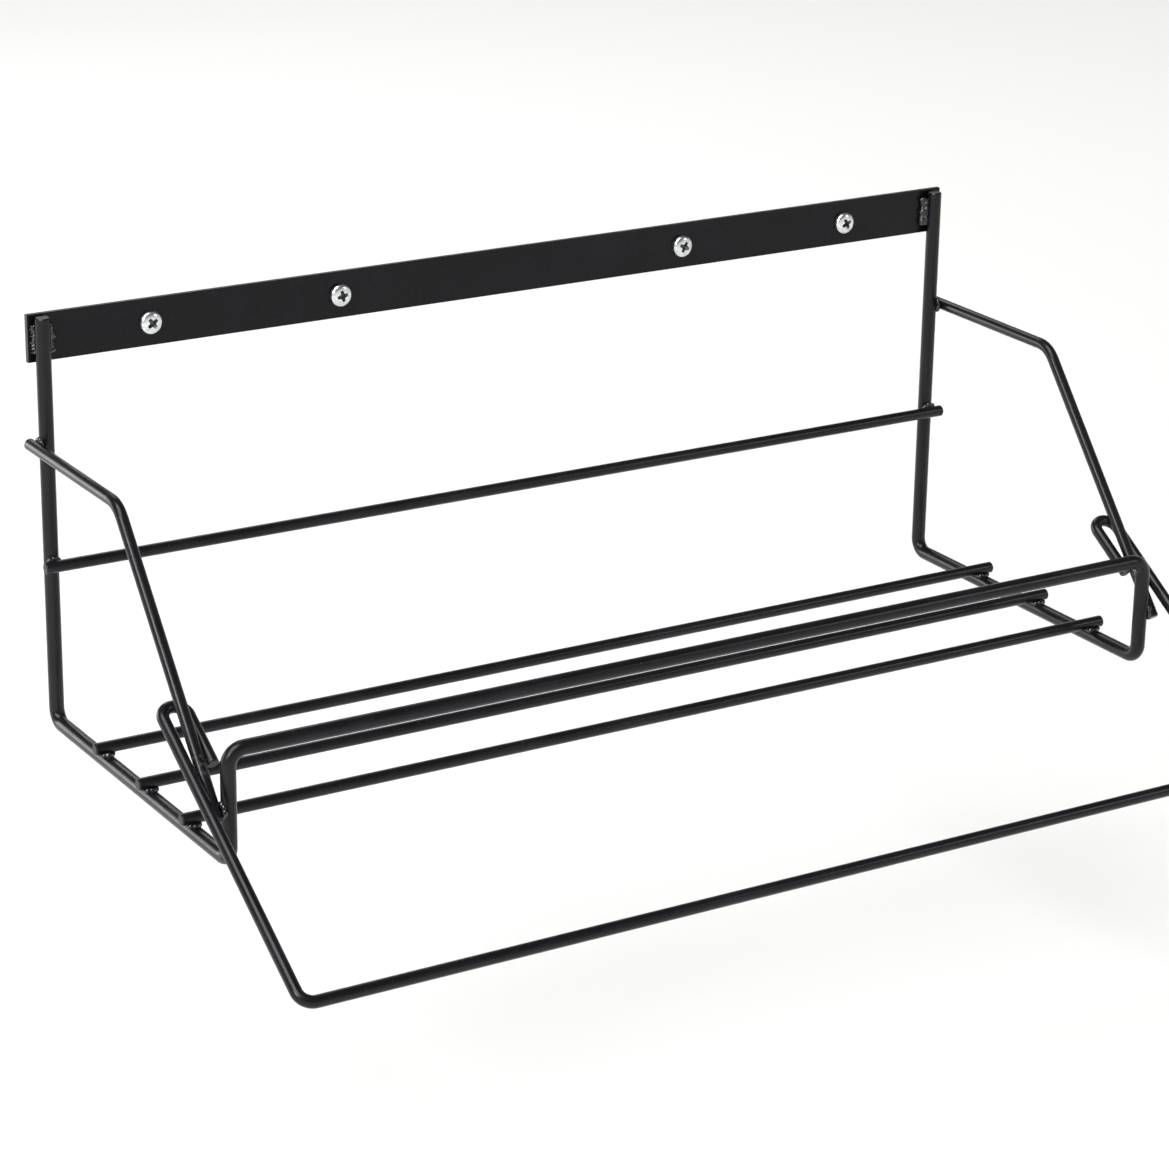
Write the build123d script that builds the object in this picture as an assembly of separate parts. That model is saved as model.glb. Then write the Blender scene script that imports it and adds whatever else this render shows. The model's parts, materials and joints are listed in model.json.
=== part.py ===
from build123d import *

import math
import os

# A wall rack of welded steel rod: a flat bar screwed to the wall, one bent frame rod, a tray
# of straight rods with a rail in front, a guard wire at each side, and a swinging bail that
# is hooked on the guard wires.
#
# Millimetres. X runs along the wall, -Y points into the room and +Z is up. The origin is in
# the wall face, on the line of the four screws, midway between them.

# ---- Stock --------------------------------------------------------------------------------
FRAME_ROD_DIA = 7.94
WIRE_DIA = 6.35
BAR_HEIGHT = 25.4
BAR_THICKNESS = 3.175
BAR_LENGTH = 572.0
BAR_EDGE_RADIUS = 0.5
END_CHAMFER = 0.6
WELD_GAP = 0.2

# ---- Frame --------------------------------------------------------------------------------
FRAME_SPAN = 558.8
FRAME_TOP_BELOW_BAR = 1.0
SHELF_DROP = 208.3
SHELF_DEPTH = 206.6
LIP_HEIGHT = 57.7
LOWER_BEND = 8.0
RAIL_BEND = 8.5

# ---- Straight rods ------------------------------------------------------------------------
CROSS_ROD_LENGTH = 572.0
BACK_ROD_ABOVE_SHELF = 88.3
SHELF_ROD_SETBACKS = {"rear": 63.0, "middle": 115.4, "front": 165.7}

# ---- Side guards --------------------------------------------------------------------------
GUARD_ABOVE_SHELF = 152.3
GUARD_LEVEL_RUN = 103.5
GUARD_BEND = 16.0
GUARD_FOOT_ABOVE_SHELF = 27.0
GUARD_WALL_GAP = 2.0
GUARD_FOOT_OVERRUN = 4.5

# ---- Bail ---------------------------------------------------------------------------------
HOOK_INNER_WIDTH = 7.2
HOOK_BEHIND_PIVOT = 37.0
HOOK_TIP_AHEAD = 0.5
BAIL_REACH = 140.0
BAIL_CORNER = 7.5
BAIL_TILT = 32.0
PIVOT_UP_GUARD = 0.148

# ---- Wall screws --------------------------------------------------------------------------
SCREW_X = (-218.0, -107.6, 107.6, 218.0)
SCREW_HOLE_DIA = 7.0
SCREW_NECK_DIA = 6.6
SCREW_NECK_PAST_BAR = 0.4
SCREW_SHANK_DIA = 6.0
SCREW_LENGTH = 38.0
SCREW_POINT = 7.0
SCREW_HEAD_DIA = 12.4
SCREW_HEAD_HEIGHT = 3.8
SCREW_HEAD_RIM = 1.1
RECESS_WIDTH = 1.5
RECESS_SPAN = 6.6
RECESS_DEPTH = 2.4

# ---- Welds --------------------------------------------------------------------------------
BEAD_RADIUS = 4.4
BEAD_TURN = (17, 31, 53)
BAR_BEAD_RADIUS = 2.4
BAR_BEAD_LENGTH = 17.0

# ---- Places worked out from the above -----------------------------------------------------
rod_r = FRAME_ROD_DIA / 2
wire_r = WIRE_DIA / 2
half_span = FRAME_SPAN / 2
upright_y = -(BAR_THICKNESS + WELD_GAP + rod_r)
lip_y = upright_y - SHELF_DEPTH
shelf_z = -SHELF_DROP
rail_z = shelf_z + LIP_HEIGHT
touching = rod_r + WELD_GAP + wire_r
shelf_rod_z = shelf_z + touching
back_rod_y = upright_y - touching
back_rod_z = shelf_z + BACK_ROD_ABOVE_SHELF
guard_x = half_span + touching
guard_z = shelf_z + GUARD_ABOVE_SHELF
guard_bend_y = upright_y - GUARD_LEVEL_RUN
guard_foot = Vector(guard_x, lip_y, shelf_z + GUARD_FOOT_ABOVE_SHELF)
guard_knee = Vector(guard_x, guard_bend_y, guard_z)
pivot = guard_foot + (guard_knee - guard_foot) * PIVOT_UP_GUARD


def bar_along(path, radius):
    """Round bar with its centreline on path and its two cut ends eased."""
    section = Plane(origin=path @ 0, z_dir=path % 0) * Circle(radius)
    solid = sweep(section, path=path)
    ends = [path @ 0, path @ 1]
    rims = [e for e in solid.edges().filter_by(GeomType.CIRCLE) if is_rim(e, ends)]
    return chamfer(rims, END_CHAMFER)


def is_rim(edge, ends):
    """True for an edge that circles one of the given centres."""
    return any((edge.arc_center - end).length < 0.01 for end in ends)


def mirrored(shape):
    """The same shape on the other side of the rack's middle."""
    return mirror(shape, about=Plane.YZ)


def make_wall_bar():
    """Flat steel strip with four clearance holes."""
    strip = Box(BAR_LENGTH, BAR_THICKNESS, BAR_HEIGHT)
    strip = fillet(strip.edges().filter_by(Axis.X), BAR_EDGE_RADIUS)
    strip = Pos(0, -BAR_THICKNESS / 2, 0) * strip
    for x in SCREW_X:
        hole = Cylinder(SCREW_HOLE_DIA / 2, 3 * BAR_THICKNESS)
        strip -= Pos(x, -BAR_THICKNESS / 2, 0) * Rot(90, 0, 0) * hole
    return strip


def make_frame_rod():
    """One rod: down the wall, out under the tray, up the lip, across as the rail, and back."""
    top = BAR_HEIGHT / 2 - FRAME_TOP_BELOW_BAR
    left = [
        (-half_span, upright_y, top),
        (-half_span, upright_y, shelf_z),
        (-half_span, lip_y, shelf_z),
        (-half_span, lip_y, rail_z),
    ]
    right = [(-x, y, z) for x, y, z in reversed(left)]
    radii = [LOWER_BEND, LOWER_BEND, RAIL_BEND, RAIL_BEND, LOWER_BEND, LOWER_BEND]
    return bar_along(FilletPolyline(*left, *right, radius=radii), rod_r)


def make_cross_rod(y, z):
    """Straight rod from side to side."""
    half = CROSS_ROD_LENGTH / 2
    return bar_along(Line((-half, y, z), (half, y, z)), wire_r)


def make_guard():
    """Right-hand guard wire: out from the wall, then down to the lip."""
    start = Vector(guard_x, -GUARD_WALL_GAP, guard_z)
    slope = (guard_foot - guard_knee).normalized()
    end = guard_foot + slope * GUARD_FOOT_OVERRUN
    return bar_along(FilletPolyline(start, guard_knee, end, radius=GUARD_BEND), wire_r)


def make_bail():
    """U of wire with a hairpin hook at each end that takes a guard wire between its legs."""
    hook_r = (HOOK_INNER_WIDTH + WIRE_DIA) / 2
    tip_x = guard_x - hook_r
    arm_x = guard_x + hook_r
    turn = HOOK_BEHIND_PIVOT - hook_r

    def in_plane(x, along):
        """A point of the bail's plane: across, and along the arm away from the pivot."""
        tilt = math.radians(BAIL_TILT)
        y = pivot.Y - along * math.cos(tilt)
        return Vector(x, y, pivot.Z - along * math.sin(tilt))

    def hook(side):
        """Return leg and hairpin bend on one side, from the tip to the arm."""
        leg = Line(in_plane(side * tip_x, HOOK_TIP_AHEAD), in_plane(side * tip_x, -turn))
        crown = in_plane(side * guard_x, -HOOK_BEHIND_PIVOT)
        bend = ThreePointArc(leg @ 1, crown, in_plane(side * arm_x, -turn))
        return leg, bend

    left_leg, left_bend = hook(-1)
    right_leg, right_bend = hook(1)
    body = FilletPolyline(
        left_bend @ 1,
        in_plane(-arm_x, BAIL_REACH),
        in_plane(arm_x, BAIL_REACH),
        right_bend @ 1,
        radius=BAIL_CORNER,
    )
    wire = Wire([left_leg, left_bend, *body.edges(), right_bend, right_leg])
    section = Plane(origin=left_leg @ 0, z_dir=left_leg % 0) * Circle(wire_r)
    solid = sweep(section, path=wire)
    ends = [left_leg @ 0, right_leg @ 0]
    rims = [e for e in solid.edges().filter_by(GeomType.CIRCLE) if is_rim(e, ends)]
    return chamfer(rims, END_CHAMFER)


def make_wall_screw(x):
    """Pan head screw with a cross recess, driven into the wall as far as the bar."""
    head_r = SCREW_HEAD_DIA / 2
    neck_r = SCREW_NECK_DIA / 2
    neck = BAR_THICKNESS + SCREW_NECK_PAST_BAR
    shank_r = SCREW_SHANK_DIA / 2
    # The profile's first coordinate is the radius, its second the way out of the wall.
    point = (0, -SCREW_LENGTH)
    side = Polyline(
        point,
        (shank_r, SCREW_POINT - SCREW_LENGTH),
        (shank_r, -neck),
        (neck_r, -neck),
        (neck_r, 0),
        (head_r, 0),
        (head_r, SCREW_HEAD_RIM),
    )
    crown = ThreePointArc(
        (head_r, SCREW_HEAD_RIM),
        (head_r * 0.72, SCREW_HEAD_HEIGHT * 0.84),
        (0, SCREW_HEAD_HEIGHT),
    )
    screw = revolve(make_face(side + crown + Line(crown @ 1, point)), Axis.Y, 360)
    slot = Box(RECESS_SPAN, 2 * RECESS_DEPTH, RECESS_WIDTH)
    cross = slot + Rot(0, 90, 0) * slot
    screw -= Pos(0, SCREW_HEAD_HEIGHT, 0) * cross
    # The outward direction becomes -Y, and the head bears on the bar's front face.
    return Pos(x, -BAR_THICKNESS, 0) * Rot(0, 0, 180) * screw


def make_bead(centre, neighbours):
    """Ball of weld metal at a crossing, less the rods that it joins.

    The ball is turned so that its seam doesn't lie along a rod.
    """
    bead = Pos(*centre) * Rot(*BEAD_TURN) * Sphere(BEAD_RADIUS)
    for rod in neighbours:
        bead -= rod
    return bead


def make_bar_beads(side, bar, frame):
    """Two fillet welds between one upright and the wall bar."""
    beads = []
    for flank in (-1, 1):
        x = side * half_span + flank * rod_r
        bead = Pos(x, -BAR_THICKNESS, 0) * Cylinder(BAR_BEAD_RADIUS, BAR_BEAD_LENGTH)
        beads.append(bead - bar - frame)
    return beads


def as_group(shapes):
    """One node made of several separate solids."""
    return Compound(children=[s for shape in shapes for s in shape.solids()])


def make_parts():
    """Every piece of the rack by its node name."""
    wall_bar = make_wall_bar()
    frame_rod = make_frame_rod()
    back_rod = make_cross_rod(back_rod_y, back_rod_z)
    guard = make_guard()
    parts = {
        "wall_bar": wall_bar,
        "frame_rod": frame_rod,
        "back_rod": back_rod,
        "guard_right": guard,
        "guard_left": mirrored(guard),
        "bail": make_bail(),
    }

    shelf_beads = []
    for name, setback in SHELF_ROD_SETBACKS.items():
        y = upright_y - setback
        rod = make_cross_rod(y, shelf_rod_z)
        parts[f"shelf_rod_{name}"] = rod
        for side in (-1, 1):
            centre = (side * half_span, y, shelf_z + rod_r)
            shelf_beads.append(make_bead(centre, [frame_rod, rod]))
    parts["weld_beads_shelf"] = as_group(shelf_beads)

    back_beads = []
    guard_beads = []
    bar_beads = []
    for side, wire in ((-1, parts["guard_left"]), (1, parts["guard_right"])):
        back_centre = (side * half_span, upright_y - rod_r, back_rod_z)
        back_beads.append(make_bead(back_centre, [frame_rod, back_rod]))
        for y, z in ((upright_y, guard_z), (guard_foot.Y, guard_foot.Z)):
            centre = (side * (half_span + rod_r), y, z)
            guard_beads.append(make_bead(centre, [frame_rod, wire]))
        bar_beads.extend(make_bar_beads(side, wall_bar, frame_rod))
    parts["weld_beads_back_rod"] = as_group(back_beads)
    parts["weld_beads_guards"] = as_group(guard_beads)
    parts["weld_beads_bar"] = as_group(bar_beads)

    for number, x in enumerate(SCREW_X, start=1):
        parts[f"wall_screw_{number}"] = make_wall_screw(x)
    return parts


os.makedirs("parts", exist_ok=True)
for node, shape in make_parts().items():
    export_step(shape, f"parts/{node}.step")
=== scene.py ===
import json
import math
import random

import bmesh
import bpy
from mathutils import Matrix, Vector, noise


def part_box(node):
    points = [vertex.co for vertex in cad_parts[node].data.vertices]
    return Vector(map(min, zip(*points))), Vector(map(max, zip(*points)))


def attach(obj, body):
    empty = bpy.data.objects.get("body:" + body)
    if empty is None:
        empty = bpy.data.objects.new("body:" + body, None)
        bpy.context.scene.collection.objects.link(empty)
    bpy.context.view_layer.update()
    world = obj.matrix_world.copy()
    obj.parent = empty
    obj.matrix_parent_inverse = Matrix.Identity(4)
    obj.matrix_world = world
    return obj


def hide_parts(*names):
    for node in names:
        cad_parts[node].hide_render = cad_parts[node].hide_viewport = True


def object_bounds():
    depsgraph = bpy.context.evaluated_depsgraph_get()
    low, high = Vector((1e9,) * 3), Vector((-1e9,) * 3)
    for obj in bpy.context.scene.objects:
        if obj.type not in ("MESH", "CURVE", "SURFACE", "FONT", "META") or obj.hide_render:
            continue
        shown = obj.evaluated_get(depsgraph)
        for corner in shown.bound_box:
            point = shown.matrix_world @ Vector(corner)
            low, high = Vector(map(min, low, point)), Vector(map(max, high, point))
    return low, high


# Wall rack of black coated steel rod, at rest, in metres. +X is along the wall, -Y is out into
# the room, +Z is up, and the origin is in the wall face midway between the four screws.

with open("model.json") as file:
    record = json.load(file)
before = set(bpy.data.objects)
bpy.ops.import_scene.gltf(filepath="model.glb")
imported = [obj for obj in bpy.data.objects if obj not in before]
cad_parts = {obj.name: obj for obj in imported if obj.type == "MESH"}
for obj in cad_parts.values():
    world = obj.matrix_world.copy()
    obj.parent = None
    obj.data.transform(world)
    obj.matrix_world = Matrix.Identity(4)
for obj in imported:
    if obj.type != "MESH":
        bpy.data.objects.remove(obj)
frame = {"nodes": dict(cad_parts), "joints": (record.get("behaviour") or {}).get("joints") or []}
CAD_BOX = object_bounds()

MM = 0.001

# ---- Sizes read from the frame's boxes ----------------------------------------------------
BAR_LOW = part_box("wall_bar")[0]
BACK_LOW, BACK_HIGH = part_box("back_rod")
FRAME_LOW, FRAME_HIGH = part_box("frame_rod")
GUARD_LOW, GUARD_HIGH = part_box("guard_right")
HINGE = Vector(frame["joints"][0]["pos_m"])

# ---- Rod lines, worked out from the boxes and two sizes that the CAD also has -------------
ROD_RADIUS = 3.97 * MM
GUARD_FOOT_ABOVE_SHELF = 27.0 * MM
WIRE_RADIUS = (BACK_HIGH.z - BACK_LOW.z) / 2
HALF_SPAN = FRAME_HIGH.x - ROD_RADIUS
UPRIGHT_Y = FRAME_HIGH.y - ROD_RADIUS
LIP_Y = FRAME_LOW.y + ROD_RADIUS
SHELF_Z = FRAME_LOW.z + ROD_RADIUS
GUARD_X = (GUARD_LOW.x + GUARD_HIGH.x) / 2
GUARD_Z = GUARD_HIGH.z - WIRE_RADIUS
GUARD_FOOT_Z = SHELF_Z + GUARD_FOOT_ABOVE_SHELF

# ---- Camera -------------------------------------------------------------------------------
CAMERA_PLACE = (-0.9847, -1.6912, 0.5300)
CAMERA_FORWARD = (0.49015, 0.80152, -0.34251)
CAMERA_ROLL = 0.86
CAMERA_LENS = 113.85


def make_camera():
    """Camera on the reference's viewing angle."""
    data = bpy.data.cameras.new("camera")
    data.lens = CAMERA_LENS
    data.sensor_width = 36.0
    data.clip_start = 0.05
    data.clip_end = 50.0
    camera = bpy.data.objects.new("camera", data)
    bpy.context.scene.collection.objects.link(camera)
    turn = Vector(CAMERA_FORWARD).to_track_quat("-Z", "Y").to_matrix()
    roll = Matrix.Rotation(math.radians(CAMERA_ROLL), 3, "Z")
    camera.matrix_world = Matrix.Translation(CAMERA_PLACE) @ (turn @ roll).to_4x4()
    bpy.context.scene.camera = camera


# ---- Stage and light ----------------------------------------------------------------------
FLOOR_DROP = 0.16
FLOOR_HALF = 14.0
FLOOR_COLOUR = (0.88, 0.88, 0.87, 1.0)
HORIZON_STRENGTH = 0.80
ZENITH_STRENGTH = 0.16
# The surround fades between these sines of the height above the horizon.
FADE_START = 0.05
FADE_END = 0.5
SKY_ENERGY = 2.25
SKY_SPREAD = 38.0
SKY_DIRECTION = (0.42, 0.10, -1.0)
LAMP_AIM = (0.0, -0.1, -0.12)
# Soft boxes, each (name, place, side, power).
LAMPS = (
    ("key", (-2.2, -0.9, 1.3), 0.8, 34.0),
    ("fill", (1.9, -2.0, 1.3), 0.7, 7.0),
    ("rim", (0.6, 2.2, 1.6), 1.2, 12.0),
    ("wall_bounce", (-1.5, 2.1, -0.05), 1.3, 26.0),
)


def make_area_light(name, place, size, power):
    """Square soft box aimed at the rack, itself unseen by the camera."""
    data = bpy.data.lights.new(name, "AREA")
    data.shape = "SQUARE"
    data.size = size
    data.energy = power
    light = bpy.data.objects.new(name, data)
    light.location = place
    aim = Vector(LAMP_AIM) - Vector(place)
    light.rotation_mode = "QUATERNION"
    light.rotation_quaternion = aim.to_track_quat("-Z", "Y")
    light.visible_camera = False
    bpy.context.scene.collection.objects.link(light)


def make_surround():
    """Surround that is pale at the horizon and dim overhead, like a studio's curved backdrop."""
    world = bpy.data.worlds.new("surround")
    world.use_nodes = True
    nodes, links = world.node_tree.nodes, world.node_tree.links
    place = nodes.new("ShaderNodeTexCoord")
    split = nodes.new("ShaderNodeSeparateXYZ")
    links.new(place.outputs["Generated"], split.inputs["Vector"])
    strengths = (HORIZON_STRENGTH, ZENITH_STRENGTH)
    fade = add_range(nodes, links, split.outputs["Z"], *strengths, FADE_START, FADE_END)
    background = nodes["Background"]
    background.inputs["Color"].default_value = (1.0, 1.0, 1.0, 1.0)
    links.new(fade.outputs["Result"], background.inputs["Strength"])
    bpy.context.scene.world = world


def make_sky_light():
    """Wide, even light from above and a little to the left, which keeps the floor pale."""
    data = bpy.data.lights.new("sky", "SUN")
    data.energy = SKY_ENERGY
    data.angle = math.radians(SKY_SPREAD)
    light = bpy.data.objects.new("sky", data)
    light.rotation_mode = "QUATERNION"
    light.rotation_quaternion = Vector(SKY_DIRECTION).to_track_quat("-Z", "Y")
    bpy.context.scene.collection.objects.link(light)


def make_stage():
    """Pale floor under the rack, the surround and the lamps."""
    mesh = bpy.data.meshes.new("floor")
    h = FLOOR_HALF
    z = CAD_BOX[0].z - FLOOR_DROP
    mesh.from_pydata([(-h, -h, z), (h, -h, z), (h, h, z), (-h, h, z)], [], [(0, 1, 2, 3)])
    floor = bpy.data.objects.new("floor", mesh)
    bpy.context.scene.collection.objects.link(floor)
    material = bpy.data.materials.new("floor_paint")
    material.use_nodes = True
    shader = material.node_tree.nodes["Principled BSDF"]
    shader.inputs["Base Color"].default_value = FLOOR_COLOUR
    shader.inputs["Roughness"].default_value = 0.95
    shader.inputs["Specular IOR Level"].default_value = 0.1
    mesh.materials.append(material)

    make_surround()
    make_sky_light()
    for name, place, size, power in LAMPS:
        make_area_light(name, place, size, power)
    bpy.context.scene.view_settings.view_transform = "Standard"


# ---- Material helpers ---------------------------------------------------------------------
def new_material(name):
    """Empty node material: (material, nodes, links, shader)."""
    material = bpy.data.materials.new(name)
    material.use_nodes = True
    tree = material.node_tree
    return material, tree.nodes, tree.links, tree.nodes["Principled BSDF"]


def add_noise(nodes, links, place, scale, detail, stretch=(1.0, 1.0, 1.0)):
    """Noise texture in the piece's own metres, stretched along an axis if asked."""
    mapping = nodes.new("ShaderNodeMapping")
    mapping.inputs["Scale"].default_value = stretch
    links.new(place.outputs["Object"], mapping.inputs["Vector"])
    node = nodes.new("ShaderNodeTexNoise")
    node.inputs["Scale"].default_value = scale
    node.inputs["Detail"].default_value = detail
    links.new(mapping.outputs["Vector"], node.inputs["Vector"])
    return node


def add_ramp(nodes, links, value, low, high, start, end):
    """Colour ramp from low at start to high at end."""
    node = nodes.new("ShaderNodeValToRGB")
    node.color_ramp.elements[0].position = start
    node.color_ramp.elements[0].color = (*low, 1.0)
    node.color_ramp.elements[1].position = end
    node.color_ramp.elements[1].color = (*high, 1.0)
    links.new(value, node.inputs["Fac"])
    return node


def add_range(nodes, links, value, low, high, start=0.0, end=1.0):
    """Maps start..end of a value to low..high, clamped."""
    node = nodes.new("ShaderNodeMapRange")
    node.inputs["From Min"].default_value = start
    node.inputs["From Max"].default_value = end
    node.inputs["To Min"].default_value = low
    node.inputs["To Max"].default_value = high
    links.new(value, node.inputs["Value"])
    return node


def add_bumps(nodes, links, shader, layers):
    """Stacks bump layers, each (height socket, distance), and feeds the shader's normal."""
    last = None
    for height, distance in layers:
        bump = nodes.new("ShaderNodeBump")
        bump.inputs["Strength"].default_value = 0.6
        bump.inputs["Distance"].default_value = distance
        links.new(height, bump.inputs["Height"])
        if last:
            links.new(last.outputs["Normal"], bump.inputs["Normal"])
        last = bump
    links.new(last.outputs["Normal"], shader.inputs["Normal"])


# Noise scales of the coat, in features per metre, from broad to fine.
BLOTCH_SCALE = 28.0
SMEAR_SCALE = 75.0
BROAD_PEEL_SCALE = 150.0
FINE_PEEL_SCALE = 520.0
SPECK_SCALE = 900.0
DUST_COLOUR = (0.04, 0.04, 0.042, 1.0)
MOST_DUST = 0.55
# Depth of the broad bumps over that of the fine ones.
BROAD_PEEL_RATIO = 2.2


def make_coat(name, colour, worn, roughness, peel, shine, rubbed):
    """Black coating: orange peel, uneven gloss, a dusty bloom, specks and rubbed hook spots."""
    material, nodes, links, shader = new_material(name)
    place = nodes.new("ShaderNodeTexCoord")

    blotches = add_noise(nodes, links, place, BLOTCH_SCALE, 4.0)
    tint = add_ramp(nodes, links, blotches.outputs["Fac"], colour, worn, 0.44, 0.82)

    specks = add_noise(nodes, links, place, SPECK_SCALE, 1.0)
    speck_mask = add_range(nodes, links, specks.outputs["Fac"], 0.0, MOST_DUST, 0.70, 0.76)
    dusty = nodes.new("ShaderNodeMix")
    dusty.data_type = "RGBA"
    links.new(speck_mask.outputs["Result"], dusty.inputs["Factor"])
    links.new(tint.outputs["Color"], dusty.inputs["A"])
    dusty.inputs["B"].default_value = DUST_COLOUR

    colour_out = dusty.outputs["Result"]
    if rubbed:
        colour_out = add_rub(nodes, links, place, colour_out)
    links.new(colour_out, shader.inputs["Base Color"])

    smears = add_noise(nodes, links, place, SMEAR_SCALE, 3.0)
    low, high = roughness - 0.04, roughness + 0.06
    gloss = add_range(nodes, links, smears.outputs["Fac"], low, high, 0.3, 0.7)
    links.new(gloss.outputs["Result"], shader.inputs["Roughness"])

    fine = add_noise(nodes, links, place, FINE_PEEL_SCALE, 2.0)
    broad = add_noise(nodes, links, place, BROAD_PEEL_SCALE, 1.0)
    layers = [(broad.outputs["Fac"], BROAD_PEEL_RATIO * peel), (fine.outputs["Fac"], peel)]
    add_bumps(nodes, links, shader, layers)
    shader.inputs["Specular IOR Level"].default_value = shine
    return material


RUB_RADIUS = 9.0 * MM
RUB_SCALE = 420.0
MOST_RUB = 0.5
RUB_COLOUR = (0.16, 0.155, 0.15)


def add_rub(nodes, links, place, colour):
    """Thin grey rub marks in the coat where the bail's hooks work on the guard wires."""
    split = nodes.new("ShaderNodeSeparateXYZ")
    links.new(place.outputs["Object"], split.inputs["Vector"])
    side = nodes.new("ShaderNodeMath")
    side.operation = "ABSOLUTE"
    links.new(split.outputs["X"], side.inputs[0])
    folded = nodes.new("ShaderNodeCombineXYZ")
    links.new(side.outputs["Value"], folded.inputs["X"])
    links.new(split.outputs["Y"], folded.inputs["Y"])
    links.new(split.outputs["Z"], folded.inputs["Z"])
    away = nodes.new("ShaderNodeVectorMath")
    away.operation = "DISTANCE"
    links.new(folded.outputs["Vector"], away.inputs[0])
    away.inputs[1].default_value = (GUARD_X, HINGE.y, HINGE.z)
    near = add_range(nodes, links, away.outputs["Value"], MOST_RUB, 0.0, 0.0, RUB_RADIUS)
    patch = add_noise(nodes, links, place, RUB_SCALE, 3.0)
    torn = add_range(nodes, links, patch.outputs["Fac"], 0.0, 1.0, 0.5, 0.6)
    mask = nodes.new("ShaderNodeMath")
    mask.operation = "MULTIPLY"
    links.new(near.outputs["Result"], mask.inputs[0])
    links.new(torn.outputs["Result"], mask.inputs[1])
    mix = nodes.new("ShaderNodeMix")
    mix.data_type = "RGBA"
    links.new(mask.outputs["Value"], mix.inputs["Factor"])
    links.new(colour, mix.inputs["A"])
    mix.inputs["B"].default_value = (*RUB_COLOUR, 1.0)
    return mix.outputs["Result"]


ZINC_CLOUD_SCALE = 260.0
ZINC_SMEAR_SCALE = 600.0
SCRATCH_SCALE = 900.0
SCRATCH_DEPTH = 0.008 * MM


def make_zinc(name, bright, dull, low, high):
    """Zinc plate: cloudy metal, uneven gloss between low and high, and faint scratches."""
    material, nodes, links, shader = new_material(name)
    place = nodes.new("ShaderNodeTexCoord")
    clouds = add_noise(nodes, links, place, ZINC_CLOUD_SCALE, 3.0)
    tint = add_ramp(nodes, links, clouds.outputs["Fac"], bright, dull, 0.35, 0.75)
    links.new(tint.outputs["Color"], shader.inputs["Base Color"])
    smears = add_noise(nodes, links, place, ZINC_SMEAR_SCALE, 3.0)
    gloss = add_range(nodes, links, smears.outputs["Fac"], low, high, 0.3, 0.7)
    links.new(gloss.outputs["Result"], shader.inputs["Roughness"])
    scratches = add_noise(nodes, links, place, SCRATCH_SCALE, 2.0, (1.0, 1.0, 0.15))
    add_bumps(nodes, links, shader, [(scratches.outputs["Fac"], SCRATCH_DEPTH)])
    shader.inputs["Metallic"].default_value = 1.0
    return material


# ---- Mesh helpers -------------------------------------------------------------------------
def add_piece(name, mesh, material, slot, body, *nodes):
    """Links a mesh as a named piece that rides on a body and stands for CAD nodes."""
    for face in mesh.polygons:
        face.use_smooth = True
    mesh.materials.clear()
    mesh.materials.append(material)
    piece = bpy.data.objects.new(name, mesh)
    bpy.context.scene.collection.objects.link(piece)
    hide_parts(*nodes)
    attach(piece, body)
    return piece


def mesh_from(bm, name):
    """Finishes a bmesh: outward normals, then a mesh."""
    bmesh.ops.recalc_face_normals(bm, faces=bm.faces)
    mesh = bpy.data.meshes.new(name)
    bm.to_mesh(mesh)
    bm.free()
    return mesh


def lathe(bm, profile, segments, wobble=None):
    """Turns (radius, height) points about Z, from the lowest up, and caps both ends.

    wobble, if given, replaces each radius by one that depends on height and angle.
    """
    rings = []
    for radius, height in profile:
        ring = []
        for i in range(segments):
            angle = 2 * math.pi * i / segments
            r = radius if wobble is None else wobble(radius, height, angle)
            ring.append(bm.verts.new((r * math.cos(angle), r * math.sin(angle), height)))
        rings.append(ring)
    for lower, upper in zip(rings, rings[1:]):
        for i in range(segments):
            j = (i + 1) % segments
            bm.faces.new((lower[i], lower[j], upper[j], upper[i]))
    bm.faces.new(list(reversed(rings[0])))
    bm.faces.new(rings[-1])


# ---- Wall screws --------------------------------------------------------------------------
SCREW_LENGTH = 38.0 * MM
SCREW_NECK_RADIUS = 3.3 * MM
SCREW_CREST_RADIUS = 3.0 * MM
SCREW_ROOT_RADIUS = 2.15 * MM
SCREW_PLAIN_RADIUS = SCREW_CREST_RADIUS * 0.92
SCREW_POINT = 7.0 * MM
SCREW_HEAD_RADIUS = 6.2 * MM
SCREW_HEAD_RIM = 1.1 * MM
SCREW_HEAD_HEIGHT = 4.0 * MM
NECK_LENGTH = 3.6 * MM
SMOOTH_SHANK = 9.0 * MM
THREAD_PITCH = 2.5 * MM
THREAD_STEP = 0.25 * MM
# Half of a thread ridge's width, as a share of the pitch.
THREAD_FLANK = 0.22
RECESS_SPAN = 3.4 * MM
RECESS_WING = 0.78 * MM
RECESS_DEPTH = 2.5 * MM
# Sizes of the recess cross just above the crown and at its floor, as shares of its span.
RECESS_MOUTH = 1.06
RECESS_FLOOR = 0.45
CROWN_STEPS = 10
CROWN_SWEEP = 88.0
CROWN_SIDE_POWER = 0.62
CROWN_TOP_POWER = 0.85
EDGE_BREAK = 0.15 * MM
SHANK_SEGMENTS = 40
HEAD_SEGMENTS = 64
SHARP_ANGLE = math.radians(40)


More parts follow.
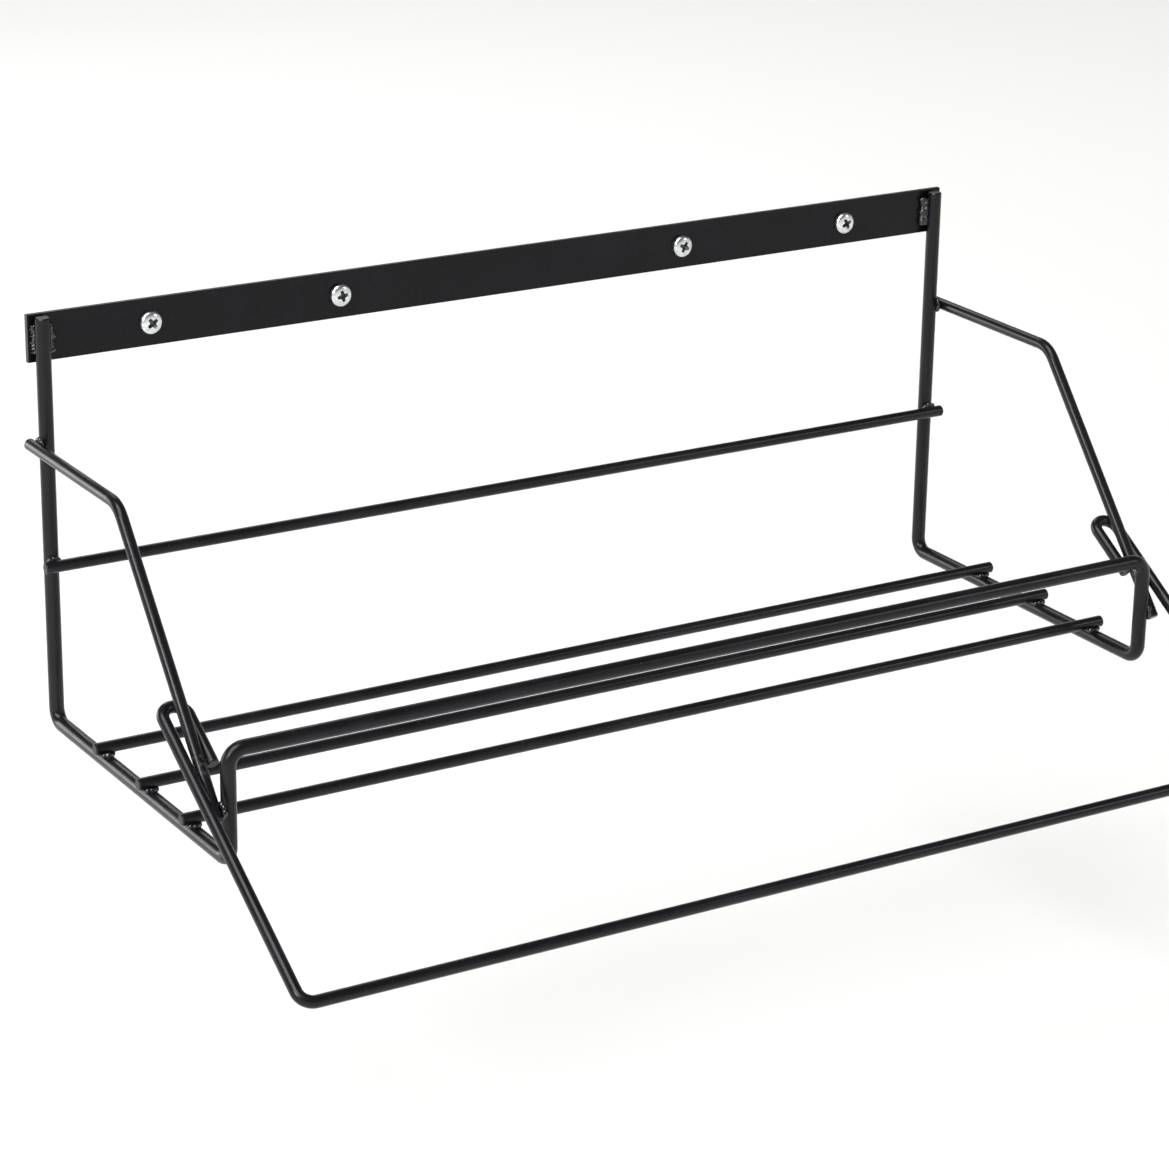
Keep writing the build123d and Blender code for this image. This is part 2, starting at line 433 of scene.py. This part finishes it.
def head_profile():
    """Pan head from its bearing face to its crown, heights above the bar's face."""
    profile = [(SCREW_HEAD_RADIUS - EDGE_BREAK, 0.0), (SCREW_HEAD_RADIUS, EDGE_BREAK)]
    profile.append((SCREW_HEAD_RADIUS, SCREW_HEAD_RIM * 0.8))
    rise = SCREW_HEAD_HEIGHT - SCREW_HEAD_RIM
    for i in range(CROWN_STEPS + 1):
        turn = math.radians(CROWN_SWEEP) * i / CROWN_STEPS
        radius = SCREW_HEAD_RADIUS * math.cos(turn) ** CROWN_SIDE_POWER
        height = SCREW_HEAD_RIM + rise * math.sin(turn) ** CROWN_TOP_POWER
        profile.append((radius, height))
    return profile


def recess_cutter():
    """Tapered cross with a conical middle, to sink into the head."""
    bm = bmesh.new()
    mouth = (SCREW_HEAD_HEIGHT + 0.5 * MM, RECESS_MOUTH)
    floor = (SCREW_HEAD_HEIGHT - RECESS_DEPTH, RECESS_FLOOR)
    rings = []
    for height, scale in (mouth, floor):
        span, wing = RECESS_SPAN * scale, RECESS_WING * (0.55 + 0.45 * scale)
        inner = wing * 1.55
        ring = []
        for quarter in range(4):
            spin = Matrix.Rotation(quarter * math.pi / 2, 3, "Z")
            for x, y in ((span, -wing), (span, wing), (inner, inner)):
                ring.append(bm.verts.new(spin @ Vector((x, y, height))))
        rings.append(ring)
    top, bottom = rings
    count = len(top)
    for i in range(count):
        j = (i + 1) % count
        bm.faces.new((bottom[i], bottom[j], top[j], top[i]))
    tip = bm.verts.new((0.0, 0.0, SCREW_HEAD_HEIGHT - RECESS_DEPTH - 0.5 * MM))
    for i in range(count):
        bm.faces.new((tip, bottom[(i + 1) % count], bottom[i]))
    bm.faces.new(top)
    return mesh_from(bm, "recess")


def cut_head(segments):
    """Pan head with the recess cut out of it."""
    bm = bmesh.new()
    lathe(bm, head_profile(), segments)
    head = bpy.data.objects.new("head", mesh_from(bm, "head"))
    cutter = bpy.data.objects.new("cutter", recess_cutter())
    for item in (head, cutter):
        bpy.context.scene.collection.objects.link(item)
    cut = head.modifiers.new("cut", "BOOLEAN")
    cut.operation = "DIFFERENCE"
    cut.solver = "EXACT"
    cut.object = cutter
    bevel = head.modifiers.new("bevel", "BEVEL")
    bevel.width = 0.12 * MM
    bevel.segments = 2
    bevel.limit_method = "ANGLE"
    bevel.angle_limit = math.radians(35)
    graph = bpy.context.evaluated_depsgraph_get()
    mesh = bpy.data.meshes.new_from_object(head.evaluated_get(graph))
    for item in (head, cutter):
        bpy.data.objects.remove(item)
    return mesh


def shank_radius(depth, angle):
    """Radius of neck, plain shank, thread and point, at a depth below the head."""
    if depth <= NECK_LENGTH:
        return SCREW_NECK_RADIUS
    taper = min(1.0, (SCREW_LENGTH - depth) / SCREW_POINT)
    if depth < SMOOTH_SHANK:
        return SCREW_PLAIN_RADIUS
    phase = (depth / THREAD_PITCH - angle / (2 * math.pi)) % 1.0
    ridge = max(0.0, 1.0 - abs(phase - 0.5) / THREAD_FLANK)
    grow = min(1.0, (depth - SMOOTH_SHANK) / THREAD_PITCH)
    core = SCREW_ROOT_RADIUS + (SCREW_PLAIN_RADIUS - SCREW_ROOT_RADIUS) * (1 - grow)
    return taper * core + (SCREW_CREST_RADIUS - SCREW_ROOT_RADIUS) * ridge * grow * taper


def make_shank(bm, segments):
    """Neck, shank, helical thread and point, below the head."""
    depths = [0.0, NECK_LENGTH - 0.2 * MM, NECK_LENGTH, NECK_LENGTH + 0.05 * MM]
    depth = NECK_LENGTH + THREAD_STEP
    while depth < SCREW_LENGTH - 0.1 * MM:
        depths.append(depth)
        depth += THREAD_STEP
    depths.append(SCREW_LENGTH - 0.02 * MM)
    # The radii here are placeholders, since shank_radius gives them.
    profile = [(0.0, -depth) for depth in reversed(depths)]
    lathe(bm, profile, segments, lambda _, height, angle: shank_radius(-height, angle))


def join_at_seat(bm):
    """Opens shank and head where they meet and bridges the rims, so a screw is one shell."""
    caps = [face for face in bm.faces if all(abs(v.co.z) < 1e-6 for v in face.verts)]
    bmesh.ops.delete(bm, geom=caps, context="FACES_ONLY")
    rims = [edge for edge in bm.edges if edge.is_boundary]
    bmesh.ops.bridge_loops(bm, edges=rims)


def in_recess(centre):
    """Whether a face centre of the unturned screw lies well inside the driver recess."""
    reach = math.hypot(centre.x, centre.y)
    crown = SCREW_HEAD_HEIGHT - (reach / SCREW_HEAD_RADIUS) ** 2 * 0.9 * MM
    return centre.z > 0.5 * MM and reach < RECESS_SPAN * 1.05 and centre.z < crown - 0.25 * MM


def make_screw(number, spin, material, recess_shade):
    """One wall screw, its recess turned by spin degrees, with painted shade (a darker zinc) on the
    faces inside the recess.
    """
    node = f"wall_screw_{number}"
    low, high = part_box(node)
    bm = bmesh.new()
    make_shank(bm, SHANK_SEGMENTS)
    bm.from_mesh(cut_head(HEAD_SEGMENTS))
    join_at_seat(bm)
    mesh = mesh_from(bm, node)
    sunk = [in_recess(face.center) for face in mesh.polygons]
    outward = Matrix.Rotation(math.radians(90), 4, "X")
    turn = Matrix.Rotation(math.radians(spin), 4, "Z")
    seat = Matrix.Translation(((low.x + high.x) / 2, BAR_LOW.y, (low.z + high.z) / 2))
    mesh.transform(seat @ outward @ turn)
    piece = add_piece(f"screw_{number}", mesh, material, "zinc_screw", "rack", node)
    # Faces deep in the driver recess take the darker zinc: painted shade in the hollow.
    mesh.materials.append(recess_shade)
    for face, inside in zip(mesh.polygons, sunk):
        face.material_index = int(inside)
    sharpen(piece)


def sharpen(piece):
    """Keeps edges over the sharp angle crisp under smooth shading."""
    mesh = piece.data
    bm = bmesh.new()
    bm.from_mesh(mesh)
    for edge in bm.edges:
        edge.smooth = len(edge.link_faces) != 2 or edge.calc_face_angle() < SHARP_ANGLE
    bm.to_mesh(mesh)
    bm.free()


# ---- Welds --------------------------------------------------------------------------------
DROP_SPREAD = 2.9 * MM
LUMP_SCALE = 420.0
LUMP_SHARE = 0.06
CROSSING_VOXEL = 0.28 * MM
BAR_VOXEL = 0.25 * MM
# Where the drops of a crossing weld lie, as (along, aside) shares of the spread.
RING = ((1, 0), (0.72, 0.72), (0, 1), (-0.72, 0.72), (-1, 0), (-0.72, -0.72), (0, -1), (0.72, -0.72))
random.seed(7)


def add_drop(bm, centre, radius, squash, axis):
    """One frozen drop of weld metal: a lumpy ball flattened along an axis."""
    made = bmesh.ops.create_icosphere(bm, subdivisions=3, radius=radius)
    turn = axis.to_track_quat("Z", "Y").to_matrix()
    seed = Vector((random.uniform(0, 9), random.uniform(0, 9), random.uniform(0, 9)))
    for vert in made["verts"]:
        lump = 1.0 + LUMP_SHARE * noise.noise(vert.co * LUMP_SCALE + seed)
        shaped = Vector((vert.co.x, vert.co.y, vert.co.z * squash)) * lump
        vert.co = centre + turn @ shaped


def fuse(bm, name, voxel):
    """Melts overlapping drops into one closed skin."""
    holder = bpy.data.objects.new(name, mesh_from(bm, name))
    bpy.context.scene.collection.objects.link(holder)
    remesh = holder.modifiers.new("remesh", "REMESH")
    remesh.mode = "VOXEL"
    remesh.voxel_size = voxel
    soften = holder.modifiers.new("soften", "SMOOTH")
    soften.factor = 0.5
    soften.iterations = 6
    graph = bpy.context.evaluated_depsgraph_get()
    mesh = bpy.data.meshes.new_from_object(holder.evaluated_get(graph))
    bpy.data.objects.remove(holder)
    return mesh


def crossing_weld(bm, centre, across, along):
    """Drops laid round the pinch where two round rods cross.

    across points from one rod to the other, and along is one rod's direction.
    """
    side = across.cross(along).normalized()
    for a, b in RING:
        spot = centre + (along * a + side * b) * DROP_SPREAD
        spot += across * random.uniform(-0.25, 0.25) * MM
        add_drop(bm, spot, random.uniform(1.7, 2.4) * MM, 0.75, across)


def make_crossing_welds(name, node, places, material):
    """All crossing welds of one CAD node, each (centre, across, along)."""
    bm = bmesh.new()
    for centre, across, along in places:
        crossing_weld(bm, Vector(centre), Vector(across), Vector(along))
    mesh = fuse(bm, name, CROSSING_VOXEL)
    add_piece(name, mesh, material, "coated_weld", "rack", node)


# Rows of drops beside an upright, each (distance from the rod, height off the bar, swell).
INNER_ROWS = ((1.4 * MM, 0.8 * MM, 1.0), (0.1 * MM, 2.3 * MM, 0.8))
OUTER_ROWS = ((0.1 * MM, 0.8 * MM, 0.6), (-0.4 * MM, 1.8 * MM, 0.55))
RIPPLES = 9


def make_bar_welds(material):
    """Rippled fillet down each side of both uprights, where they meet the wall bar."""
    bm = bmesh.new()
    low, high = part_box("weld_beads_bar")
    start = low.z + 1.5 * MM
    step = (high.z - low.z - 3.0 * MM) / (RIPPLES - 1)
    lean = Vector((0.0, 0.35, 1.0))
    for side in (-1, 1):
        for flank in (-1, 1):
            rows = OUTER_ROWS if flank == side else INNER_ROWS
            for reach, lift, swell in rows:
                x = side * HALF_SPAN + flank * (ROD_RADIUS + reach)
                for i in range(RIPPLES):
                    jitter = random.uniform(-0.5, 0.5) * MM * swell
                    radius = random.uniform(2.1, 3.2) * swell * MM
                    centre = Vector((x + jitter, BAR_LOW.y - lift, start + step * i))
                    add_drop(bm, centre, radius, 0.55, lean)
    mesh = fuse(bm, "welds_bar", BAR_VOXEL)
    add_piece("welds_bar", mesh, material, "coated_weld", "rack", "weld_beads_bar")


def make_welds(material):
    """Every weld on the rack."""
    make_bar_welds(material)
    back_z = (BACK_LOW.z + BACK_HIGH.z) / 2
    back = []
    shelf = []
    guards = []
    for side in (-1, 1):
        x = side * HALF_SPAN
        back.append(((x, UPRIGHT_Y - ROD_RADIUS, back_z), (0, 1, 0), (0, 0, 1)))
        for name in ("rear", "middle", "front"):
            low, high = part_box(f"shelf_rod_{name}")
            y = (low.y + high.y) / 2
            shelf.append(((x, y, SHELF_Z + ROD_RADIUS), (0, 0, 1), (0, 1, 0)))
        touch = side * (HALF_SPAN + ROD_RADIUS)
        guards.append(((touch, UPRIGHT_Y, GUARD_Z), (1, 0, 0), (0, 0, 1)))
        guards.append(((touch, LIP_Y, GUARD_FOOT_Z), (1, 0, 0), (0, 0, 1)))
    make_crossing_welds("welds_back_rod", "weld_beads_back_rod", back, material)
    make_crossing_welds("welds_shelf", "weld_beads_shelf", shelf, material)
    make_crossing_welds("welds_guards", "weld_beads_guards", guards, material)


# ---- Coated CAD pieces --------------------------------------------------------------------
def coat_nodes(names, material):
    """Gives CAD nodes a material in all of their slots."""
    for name in names:
        for held in frame["nodes"][name].material_slots:
            held.material = material


BLACK = (0.0035, 0.0037, 0.0052)
BLOOM = (0.010, 0.0105, 0.0135)
BAR_BLOOM = (0.006, 0.0063, 0.009)
WELD_BLOOM = (0.016, 0.016, 0.018)
ZINC_BRIGHT = (0.86, 0.87, 0.88)
ZINC_DULL = (0.68, 0.69, 0.70)
# Zinc tones for the inside of each screw's driver recess, darkened as painted shade for the hollow.
RECESS_SHADE_BRIGHT = (0.16, 0.16, 0.17)
RECESS_SHADE_DULL = (0.06, 0.06, 0.065)
coat_rod = make_coat("coat_rod", BLACK, BLOOM, 0.27, 0.035 * MM, 0.30, True)
coat_bar = make_coat("coat_bar", BLACK, BAR_BLOOM, 0.24, 0.03 * MM, 0.20, False)
coat_weld = make_coat("coat_weld", BLACK, WELD_BLOOM, 0.12, 0.01 * MM, 0.85, False)
zinc = make_zinc("zinc_plate", ZINC_BRIGHT, ZINC_DULL, 0.16, 0.30)
# The same zinc plate made dark: painted shade inside the recess, not a different metal.
zinc_recess_shade = make_zinc("zinc_recess_shade", RECESS_SHADE_BRIGHT, RECESS_SHADE_DULL, 0.40, 0.60)

SHELF_RODS = ("shelf_rod_rear", "shelf_rod_middle", "shelf_rod_front")
coat_nodes(("frame_rod", "back_rod", "guard_left", "guard_right", "bail", *SHELF_RODS), coat_rod)
coat_nodes(("wall_bar",), coat_bar)

SCREW_SPINS = (38.0, 12.0, 64.0, 27.0)
for number, spin in enumerate(SCREW_SPINS, start=1):
    make_screw(number, spin, zinc, zinc_recess_shade)
make_welds(coat_weld)

make_camera()
make_stage()
